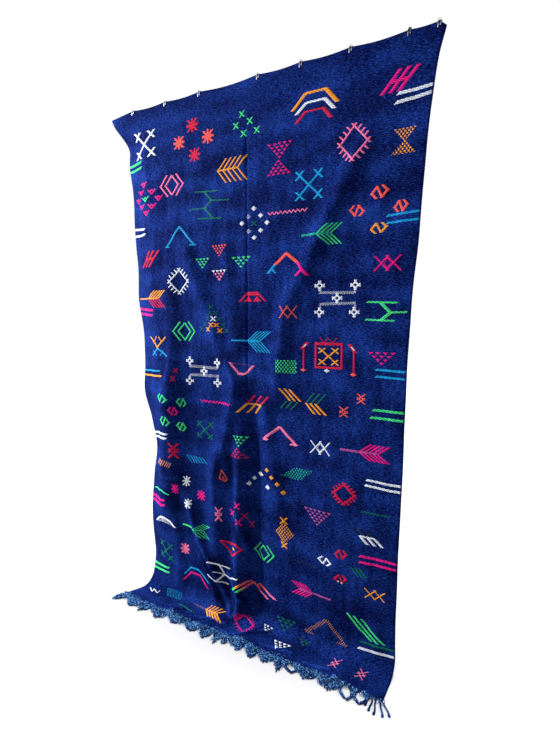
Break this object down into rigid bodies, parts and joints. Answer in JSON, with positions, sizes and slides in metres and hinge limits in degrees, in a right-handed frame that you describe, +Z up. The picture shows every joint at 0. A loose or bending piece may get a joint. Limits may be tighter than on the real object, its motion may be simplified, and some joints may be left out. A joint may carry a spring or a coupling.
{
  "type": "hanging rug with clips",
  "caption": "Handwoven flat rug hung by its top edge from small metal clips, its folded foot and looped fringe lying on the floor.",
  "frame": {"origin": "middle of the rug's top edge, where the clips hold it", "axes": "+Z up, +X along the top edge to the rug's right as it is faced, -Y out of the rug's face"},
  "size_m": [1.62, 0.3159, 2.2998],
  "materials": {
    "woven_blue": "flat weave of lustrous deep blue yarn",
    "fringe_blue": "twisted and looped yarn ends",
    "clip_steel": "small bright metal clip"
  },
  "bodies": {
    "root": {"rug_cloth": "woven_blue", "hem_fringe": "fringe_blue", "clip_1": "clip_steel", "clip_2": "clip_steel", "clip_3": "clip_steel", "clip_4": "clip_steel", "clip_5": "clip_steel", "clip_6": "clip_steel", "clip_7": "clip_steel", "clip_8": "clip_steel"}
  },
  "joints": []
}
